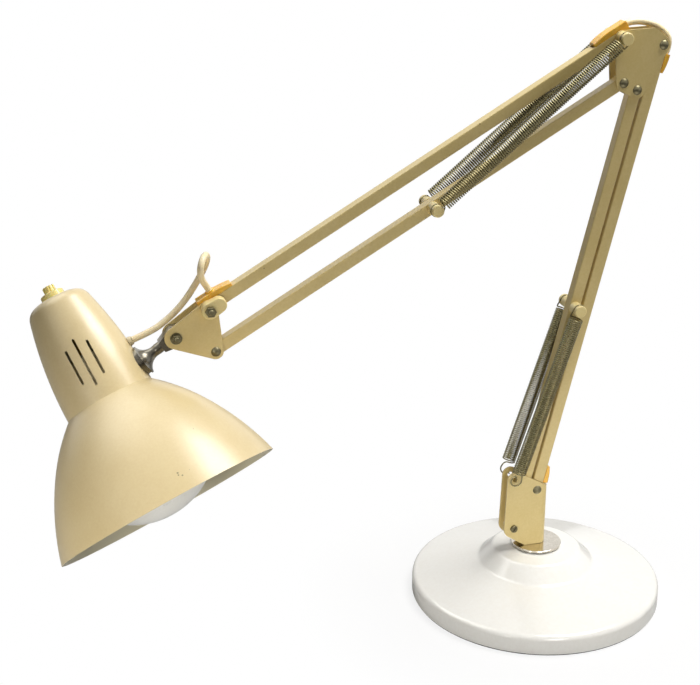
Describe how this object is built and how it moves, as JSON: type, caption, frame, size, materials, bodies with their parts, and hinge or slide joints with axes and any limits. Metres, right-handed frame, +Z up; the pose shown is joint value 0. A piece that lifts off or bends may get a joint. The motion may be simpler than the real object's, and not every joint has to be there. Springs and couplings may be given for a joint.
{
  "type": "architect desk lamp",
  "caption": "Architect desk lamp on a round weighted foot, with spring-balanced parallelogram arms of square tube and a spun metal shade that tilts and swivels.",
  "frame": {"origin": "centre of the foot's underside, on the table", "axes": "+Z up; the arms lie in the XZ plane, with the head towards -X and the elbow towards +X; -Y is the side with the clamp lever"},
  "size_m": [0.5434, 0.2467, 0.5159],
  "materials": {
    "white_enamel": "gloss white stove enamel",
    "cream_paint": "warm cream gloss paint",
    "dark_steel": "dark oiled steel",
    "plain_steel": "bright drawn steel",
    "spring_steel": "dull spring wire",
    "dark_chrome": "polished chrome",
    "amber_plastic": "amber moulded plastic",
    "cream_plastic": "cream moulded plastic",
    "ivory_flex": "ivory round flex",
    "opal_glass": "opal white glass",
    "bulb_metal": "plain screw cap",
    "brass": "plain brass",
    "holder_plastic": "ivory moulded plastic",
    "switch_plastic": "yellowed ivory plastic",
    "nylon": "natural nylon",
    "grey_iron": "rough casting",
    "black_rubber": "thin dark pad"
  },
  "bodies": {
    "base": {"base_shell": "white_enamel", "base_pad": "black_rubber", "base_weight": "grey_iron", "base_socket": "plain_steel", "base_washer": "dark_chrome"},
    "foot_bracket": {"swivel_post": "plain_steel", "lower_bracket": "cream_paint", "foot_pivot_rivet": "dark_steel", "foot_pivot_screw": "dark_steel", "foot_pivot_nut": "dark_steel", "foot_friction_washers": "nylon"},
    "lower_rear": {"lower_rear_tube": "cream_paint", "lower_rear_bushes": "nylon", "lower_flex_clips": "amber_plastic", "lower_arm_flex": "ivory_flex"},
    "lower_front": {"lower_front_tube": "cream_paint", "lower_front_bushes": "nylon", "lower_spring_post": "plain_steel", "lower_spring_bobbins": "cream_plastic", "lower_spring_front": "spring_steel", "lower_spring_back": "spring_steel"},
    "elbow": {"elbow_plates": "cream_paint", "elbow_rivets": "dark_steel", "elbow_spring_post": "plain_steel", "elbow_spring_bobbins": "cream_plastic", "elbow_friction_washers": "nylon", "elbow_flex": "ivory_flex"},
    "upper_top": {"upper_top_tube": "cream_paint", "upper_top_bushes": "nylon", "elbow_flex_clip": "amber_plastic", "head_flex_clip": "amber_plastic", "upper_arm_flex": "ivory_flex"},
    "upper_bottom": {"upper_bottom_tube": "cream_paint", "upper_bottom_bushes": "nylon", "upper_spring_post": "plain_steel", "upper_spring_bobbins": "cream_plastic", "upper_spring_front": "spring_steel", "upper_spring_back": "spring_steel"},
    "head_bracket": {"head_plates": "cream_paint", "head_rivet": "dark_steel", "head_friction_washers": "nylon", "clamp_bolt": "dark_steel", "stem_bolt": "dark_steel", "stem_washer": "dark_steel", "stem_nut": "dark_steel", "head_flex": "ivory_flex"},
    "clamp": {"clamp_lever": "cream_plastic", "clamp_nut": "dark_steel"},
    "stem": {"stem": "dark_chrome", "swivel_nut": "dark_steel"},
    "shade": {"shade": "cream_paint", "swivel_seat": "dark_chrome", "flex_grommet": "holder_plastic", "lampholder": "holder_plastic", "holder_sleeve": "brass", "holder_nipple": "brass", "bulb_glass": "opal_glass", "bulb_cap": "bulb_metal", "switch_collar": "switch_plastic"},
    "switch": {"switch_knob": "switch_plastic"}
  },
  "joints": [
    {"name": "base_swivel", "type": "hinge", "parent": "base", "child": "foot_bracket", "pos_m": [0, 0, 0.051], "axis": [0, 0, 1], "continuous": true},
    {"name": "lower_arm_tilt", "type": "hinge", "parent": "foot_bracket", "child": "lower_rear", "pos_m": [-0.0042, 0, 0.1051], "axis": [0, 1, 0], "range_deg": [-50, 2]},
    {"name": "lower_front_pivot", "type": "hinge", "parent": "foot_bracket", "child": "lower_front", "pos_m": [-0.0252, 0, 0.0692], "axis": [0, 1, 0], "range_deg": [-50, 2], "deforming": ["lower_spring_front", "lower_spring_back"]},
    {"name": "elbow_pivot", "type": "hinge", "parent": "lower_rear", "child": "elbow", "pos_m": [0.08782, 0, 0.49437], "axis": [0, 1, 0], "range_deg": [-2, 50], "deforming": ["elbow_flex"]},
    {"name": "upper_arm_tilt", "type": "hinge", "parent": "elbow", "child": "upper_top", "pos_m": [0.05022, 0, 0.50167], "axis": [0, -1, 0], "range_deg": [-60, 10], "deforming": ["elbow_flex"]},
    {"name": "upper_bottom_pivot", "type": "hinge", "parent": "elbow", "child": "upper_bottom", "pos_m": [0.05442, 0, 0.46477], "axis": [0, -1, 0], "range_deg": [-60, 10], "deforming": ["upper_spring_front", "upper_spring_back"]},
    {"name": "head_pivot", "type": "hinge", "parent": "upper_top", "child": "head_bracket", "pos_m": [-0.293, 0, 0.30215], "axis": [0, -1, 0], "range_deg": [-10, 60], "deforming": ["head_flex"]},
    {"name": "clamp_turn", "type": "hinge", "parent": "head_bracket", "child": "clamp", "pos_m": [-0.293, -0.0108, 0.30215], "axis": [0, 1, 0], "range_deg": [-45, 90]},
    {"name": "head_tilt", "type": "hinge", "parent": "head_bracket", "child": "stem", "pos_m": [-0.3204, 0, 0.27965], "axis": [0, 1, 0], "range_deg": [-25, 60], "deforming": ["head_flex"]},
    {"name": "shade_swivel", "type": "hinge", "parent": "stem", "child": "shade", "pos_m": [-0.34995, 0, 0.25908], "axis": [-0.8207, 0, -0.5714], "range_deg": [-90, 40], "deforming": ["head_flex"]},
    {"name": "switch_turn", "type": "hinge", "parent": "shade", "child": "switch", "pos_m": [-0.41365, 0.04576, 0.31209], "axis": [-0.3762, 0.4921, 0.7851], "range_deg": [0, 90]}
  ],
  "couplings": [
    {"joint": "lower_front_pivot", "follows": "lower_arm_tilt", "ratio": 1},
    {"joint": "elbow_pivot", "follows": "lower_arm_tilt", "ratio": -1},
    {"joint": "upper_bottom_pivot", "follows": "upper_arm_tilt", "ratio": 1},
    {"joint": "head_pivot", "follows": "upper_arm_tilt", "ratio": -1}
  ]
}
